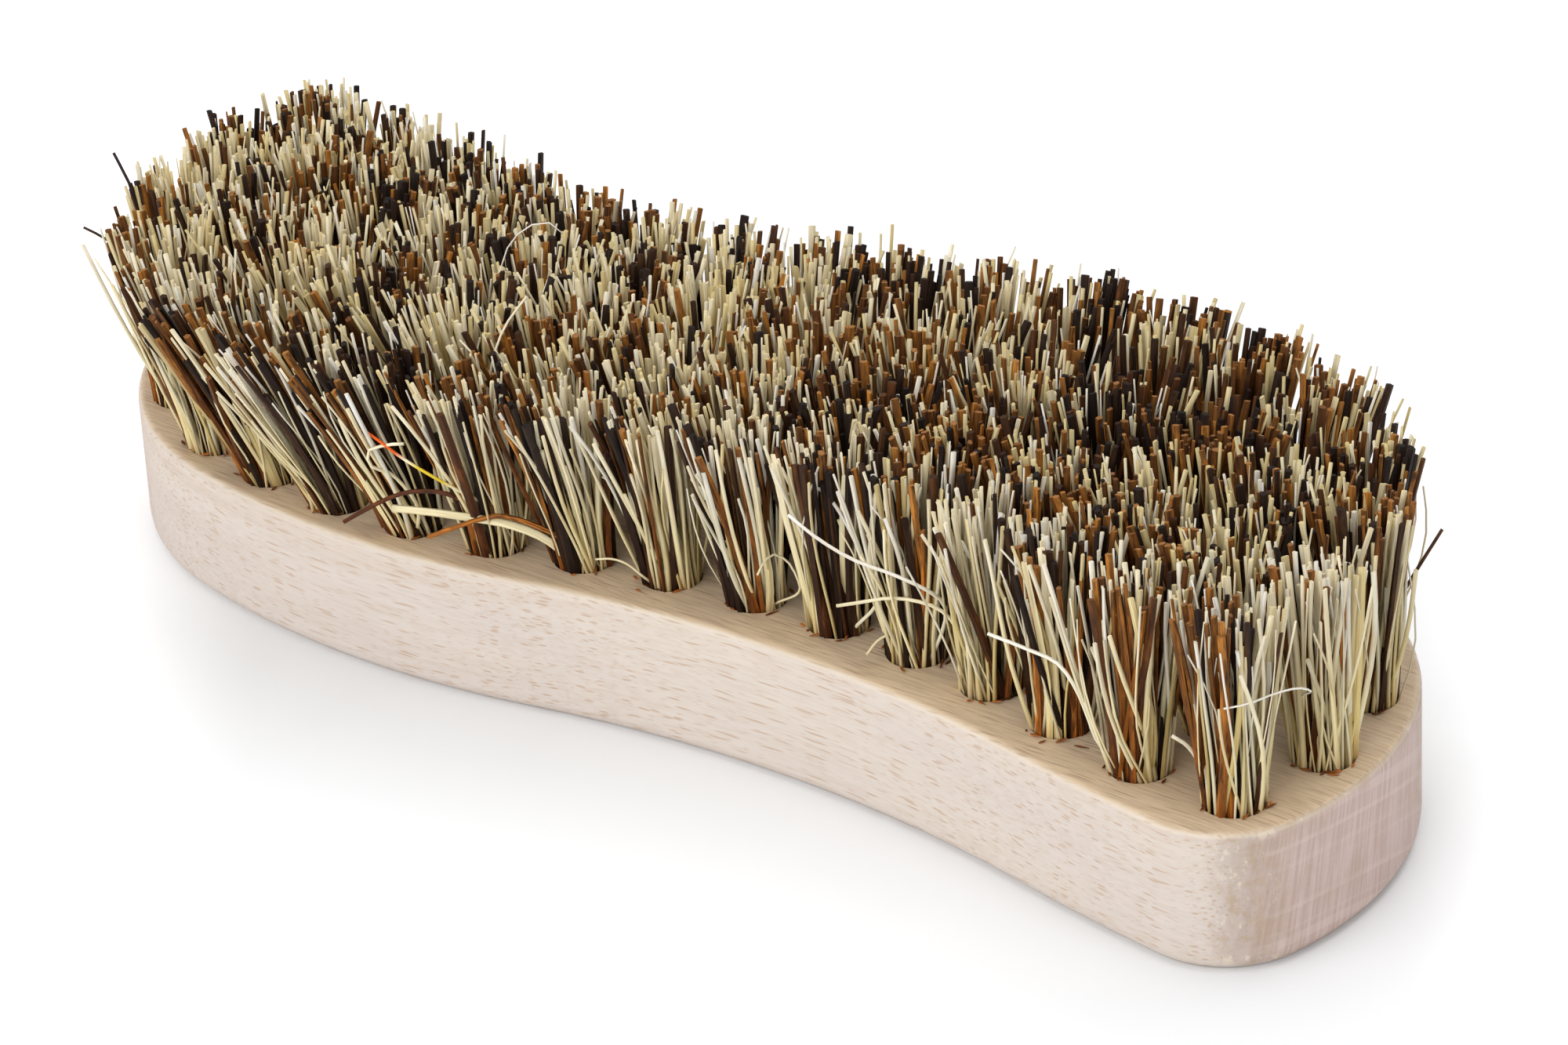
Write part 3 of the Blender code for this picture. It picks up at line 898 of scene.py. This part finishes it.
def grow_tuft(strand, tuft, count, wild, limit, rng, settings):
    """One tuft as a piece: fibres from its hole up to their even trim, fanned to fill its room."""
    turn, out = spread_roots(count, rng)
    spots = np.stack([out * np.cos(turn), out * np.sin(turn)], axis=1)
    side = spots @ tuft.outward
    kinds = choose_kinds(tuft, spots, rng)
    light = np.isin(kinds, ("pale", "hair"))
    widths, depths, bows = size_fibres(kinds, rng)
    foot = tuft.foot + spots * (settings.root - widths * 0.5)[:, None]
    tip = fan_tips(tuft, turn, out, limit, rng)
    top = trim_tops(tuft, out, side, settings.trim, rng)
    if tuft.at_end or tuft.name in CALM_TUFTS:
        wild = CALM_STRAYS * wild
    if tuft.name in NEAR_TUFTS:
        wild = RAGGED_STRAYS * wild
    dark_wild = 0.0 if tuft.at_end else DARK_STRAYS * wild
    stray = (rng.random(count) < np.where(light, wild, dark_wild)) & (side > 0.1)
    top = np.where(stray, FACE + (TRIM - FACE) * rng.uniform(0.6, 1.0, count), top)
    tip = sway_tips(tuft, tip, side, stray, light, rng)
    tip = foot + (tip - foot) * ((top - FACE) / (TRIM - FACE))[:, None]
    paths = lay_paths(tuft, strand.rings, foot, tip, top, bows, stray, rng)
    taper = np.linspace(1.0, 0.88, strand.rings)[None]
    widths = np.where(stray & light, 0.8 * widths, widths)
    tints = tint_fibres(kinds, stray, tuft, rng, settings)
    return strand.copies(
        f"{tuft.name}_fibres",
        paths,
        widths[:, None] * taper,
        depths[:, None] * taper,
        level_ways(rng.random(count) * math.pi),
        tints,
        light,
    )


class BRUSH_OT_block(bpy.types.Operator):
    """Model the drilled beech block"""

    bl_idname = "brush.block"
    bl_label = "Beech Block"

    def execute(self, context):
        settings = context.scene.brush_block
        board = model_block(settings)
        drill(board, TUFTS, settings)
        settle(board, "beech", beech(settings), "beech_block")
        return {"FINISHED"}


def grow_all(settings, names, count, wild, limit, seed):
    """Grow the tufts of one group."""
    strand = Strand(TUFT_RINGS)
    look = bpy.data.materials.get("plant_fibre_looks") or plant_fibre()
    for number, tuft in enumerate(tuft for tuft in TUFTS if tuft.name in names):
        rng = np.random.default_rng(seed + number)
        piece = grow_tuft(strand, tuft, count, wild, limit, rng, settings)
        settle(piece, "plant_fibre", look, tuft.name)


class BRUSH_OT_edge_tufts(bpy.types.Operator):
    """Grow the tufts round the edge"""

    bl_idname = "brush.edge_tufts"
    bl_label = "Edge Tufts"

    def execute(self, context):
        settings = context.scene.brush_fibre
        grow_all(settings, EDGE_NAMES, settings.edge_count, STRAYS, settings.reach, EDGE_SEED)
        return {"FINISHED"}


class BRUSH_OT_inner_tufts(bpy.types.Operator):
    """Grow the tufts inside the edge"""

    bl_idname = "brush.inner_tufts"
    bl_label = "Inner Tufts"

    def execute(self, context):
        settings = context.scene.brush_fibre
        grow_all(settings, INNER_NAMES, settings.inner_count, 0.0, 2.0 * settings.reach, INNER_SEED)
        return {"FINISHED"}


def camera_away():
    """From the brush to the camera."""
    level = math.cos(CAMERA_PITCH)
    return Vector((math.sin(CAMERA_YAW) * level, -math.cos(CAMERA_YAW) * level, math.sin(CAMERA_PITCH)))


def camera_matrix(settings):
    """Place and turn of the camera."""
    away = camera_away()
    right = (-away).cross(Vector((0.0, 0.0, 1.0))).normalized()
    up = right.cross(-away)
    turned_right = right * math.cos(CAMERA_ROLL) + up * math.sin(CAMERA_ROLL)
    turned_up = up * math.cos(CAMERA_ROLL) - right * math.sin(CAMERA_ROLL)
    place = Vector(CAMERA_TARGET) + away * settings.distance
    made = Matrix((turned_right, turned_up, away)).transposed().to_4x4()
    made.translation = place
    return made


def add_lamp(name, place, size, power):
    """A soft rectangular lamp that points at the brush."""
    data = bpy.data.lights.new(name, "AREA")
    data.shape = "RECTANGLE"
    data.size, data.size_y = size
    data.energy = power
    lamp = bpy.data.objects.new(name, data)
    bpy.context.scene.collection.objects.link(lamp)
    lamp.location = place
    lamp.rotation_euler = (-Vector(place)).to_track_quat("-Z", "Y").to_euler()


def floor_look():
    """White paper that keeps the shadow and reads as white to the camera, with painted light beside and
    behind the block that fades the shadow there.
    """
    paint = Paint("white_paper")
    rays = paint.node("ShaderNodeLightPath").outputs
    seen = Value(paint, rays["Is Camera Ray"]) + Value(paint, rays["Is Glossy Ray"])
    place = paint.place()
    along = paint.axis(place, "X") * math.cos(CAMERA_YAW) + paint.axis(place, "Y") * math.sin(CAMERA_YAW)
    away = paint.axis(place, "Y") * math.cos(CAMERA_YAW) - paint.axis(place, "X") * math.sin(CAMERA_YAW)
    # Painted light: the paper glows to the camera beside and behind the block, fading the shadow there
    beside = along.rise(0.070, 0.090) + (0.0 - along).rise(0.060, 0.084) + 0.5 * away.rise(0.03, 0.09)
    return paint.finish(
        Base_Color=(0.855, 0.865, 0.88, 1.0),
        Roughness=0.9,
        Emission_Color=(1.0, 1.0, 1.0, 1.0),
        Emission_Strength=seen * (0.01 + 0.22 * beside),
    )


def thread(points, rings):
    """A smooth path through points, as even steps."""
    points = np.array(points)
    knots = np.concatenate([[0.0], np.cumsum(np.linalg.norm(np.diff(points, axis=0), axis=1))])
    slopes = np.gradient(points, knots, axis=0)
    marks = np.linspace(0.0, knots[-1], rings)
    piece = np.clip(np.searchsorted(knots, marks, side="right") - 1, 0, len(points) - 2)
    step = (knots[piece + 1] - knots[piece])[:, None]
    share = ((marks - knots[piece]) / step[:, 0])[:, None]
    first = (1.0 + 2.0 * share) * (1.0 - share) ** 2 * points[piece]
    first += share * (1.0 - share) ** 2 * step * slopes[piece]
    last = share**2 * (3.0 - 2.0 * share) * points[piece + 1]
    last += share**2 * (share - 1.0) * step * slopes[piece + 1]
    return first + last


def lay_loose_fibres(look):
    """The fibres that stray out of their tufts, each from its hole along its points."""
    strand = Strand(LOOSE_RINGS)
    feet = {tuft.name: tuft.foot for tuft in TUFTS}
    names, widths, depths, tints, courses = zip(*LOOSE_FIBRES)
    paths = []
    for name, course in zip(names, courses):
        points = np.array(course) * MM
        foot = feet[name]
        aim = points[0, :2] - foot
        rim = foot + aim * min(1.0, LOOSE_OUT / max(np.hypot(*aim), 1e-9))
        start = [(*foot, FACE - LOOSE_DEPTH), (*rim, FACE - 0.2 * MM)]
        paths.append(thread(start + points.tolist(), strand.rings))
    taper = np.linspace(1.0, 0.8, strand.rings)[None]
    tints = np.array([[tint] * strand.rings for tint in tints])
    share = np.linspace(0.0, 1.0, strand.rings)
    for start, end, dye in DYES:
        tints[DYED_FIBRE, (share >= start) & (share <= end)] = dye
    piece = strand.copies(
        "loose_fibres",
        np.array(paths),
        np.array(widths)[:, None] * MM * taper,
        np.array(depths)[:, None] * MM * taper,
        np.array(camera_away()),
        tints,
        np.ones(len(paths), bool),
    )
    settle(piece, "plant_fibre", look)


def scatter_shreds(look, hole):
    """Crumbs on the face and shreds round the holes of the edge, thick in their middle."""
    rng = np.random.default_rng(SHRED_SEED)
    bits = list(CRUMBS)
    for tuft in TUFTS[: len(EDGE_NAMES)]:
        for turn in rng.uniform(0.0, math.tau, SHREDS):
            out = hole + rng.uniform(-0.1, 0.7) * MM
            spot = (tuft.foot + out * np.array([math.cos(turn), math.sin(turn)])) / MM
            bits.append((spot, rng.uniform(0.5, 1.9), turn + math.pi / 2.0 + rng.normal(0.0, 0.5)))
    lines = []
    for (x, y), length, turn in bits:
        along = np.array([math.cos(turn), math.sin(turn), rng.uniform(0.0, 0.25)]) * length / 2.0
        middle = np.array([x, y, FACE / MM + 0.12 + along[2]])
        lines.append([(middle + along * k) * MM for k in (-1.0, -0.3, 0.4, 1.0)])
    count = len(lines)
    shape = rng.uniform(0.5, 1.0, (count, SHRED_RINGS)) * np.array([0.4, 1.0, 0.8, 0.3])
    piece = Strand(SHRED_RINGS).copies(
        "fibre_shreds",
        np.array(lines),
        shape * 0.24 * MM,
        shape * 0.14 * MM,
        np.array((0.0, 0.0, 1.0)),
        blend(*SHRED_TINTS, rng.random(count)),
        np.zeros(count, bool),
    )
    settle(piece, "plant_fibre", look)


class BRUSH_OT_loose_fibres(bpy.types.Operator):
    """Lay the fibres that stray over the face, and the shreds round the holes"""

    bl_idname = "brush.loose_fibres"
    bl_label = "Loose Fibres"

    def execute(self, context):
        look = bpy.data.materials["plant_fibre_looks"]
        lay_loose_fibres(look)
        scatter_shreds(look, context.scene.brush_block.hole)
        return {"FINISHED"}


class BRUSH_OT_stage(bpy.types.Operator):
    """Lay the white floor and set the lamps and the camera"""

    bl_idname = "brush.stage"
    bl_label = "Stage"

    def execute(self, context):
        settings = context.scene.brush_stage
        scene = context.scene
        deselect()
        bpy.ops.mesh.primitive_grid_add(
            x_subdivisions=4, y_subdivisions=4, size=6.0, location=(0.0, 0.0, 0.0)
        )
        floor = context.object
        floor.name = "white_floor"
        floor.data.materials.append(floor_look())
        world = bpy.data.worlds.new("white_room")
        world.use_nodes = True
        tree = world.node_tree
        sky = tree.nodes["Background"]
        rays = tree.nodes.new("ShaderNodeLightPath")
        bright = tree.nodes.new("ShaderNodeMapRange")
        bright.inputs["To Min"].default_value = settings.sky
        tree.links.new(rays.outputs["Is Camera Ray"], bright.inputs["Value"])
        tree.links.new(bright.outputs[0], sky.inputs["Strength"])
        sky.inputs["Color"].default_value = (1.0, 1.0, 1.0, 1.0)
        scene.world = world
        add_lamp("overhead_lamp", (-0.06, 0.24, 0.98), (0.9, 0.9), settings.key)
        add_lamp("front_lamp", (-0.15, -1.00, 0.50), (1.4, 1.0), settings.fill)
        add_lamp("side_lamp", (0.95, -0.1, 0.5), (0.8, 0.8), settings.side)
        data = bpy.data.cameras.new("camera")
        data.lens = settings.lens
        data.sensor_width = 36.0
        data.clip_start = 0.01
        camera = bpy.data.objects.new("camera", data)
        camera.matrix_world = camera_matrix(settings)
        scene.collection.objects.link(camera)
        scene.camera = camera
        scene.view_settings.view_transform = "Standard"
        return {"FINISHED"}


class BRUSH_PT_panel(bpy.types.Panel):
    """Settings and steps of the brush"""

    bl_idname = "BRUSH_PT_panel"
    bl_label = "Scrubbing Brush"
    bl_space_type = "VIEW_3D"
    bl_region_type = "UI"
    bl_category = "Brush"

    def draw(self, context):
        for group in SETTINGS:
            settings = getattr(context.scene, group)
            box = self.layout.box()
            for name in settings.__annotations__:
                box.prop(settings, name)
        for step in STEPS:
            self.layout.operator(step.bl_idname)


SETTINGS = {
    "brush_block": BlockSettings,
    "brush_fibre": FibreSettings,
    "brush_stage": StageSettings,
}
STEPS = (
    BRUSH_OT_block,
    BRUSH_OT_edge_tufts,
    BRUSH_OT_inner_tufts,
    BRUSH_OT_loose_fibres,
    BRUSH_OT_stage,
)


def register():
    for cls in (*SETTINGS.values(), *STEPS, BRUSH_PT_panel):
        bpy.utils.register_class(cls)
    for name, cls in SETTINGS.items():
        setattr(bpy.types.Scene, name, PointerProperty(type=cls))


def unregister():
    for name in SETTINGS:
        delattr(bpy.types.Scene, name)
    for cls in (BRUSH_PT_panel, *STEPS, *SETTINGS.values()):
        bpy.utils.unregister_class(cls)


def main():
    register()
    bpy.ops.brush.block()
    bpy.ops.brush.edge_tufts()
    bpy.ops.brush.inner_tufts()
    bpy.ops.brush.loose_fibres()
    bpy.ops.brush.stage()


if __name__ == "__main__":
    main()
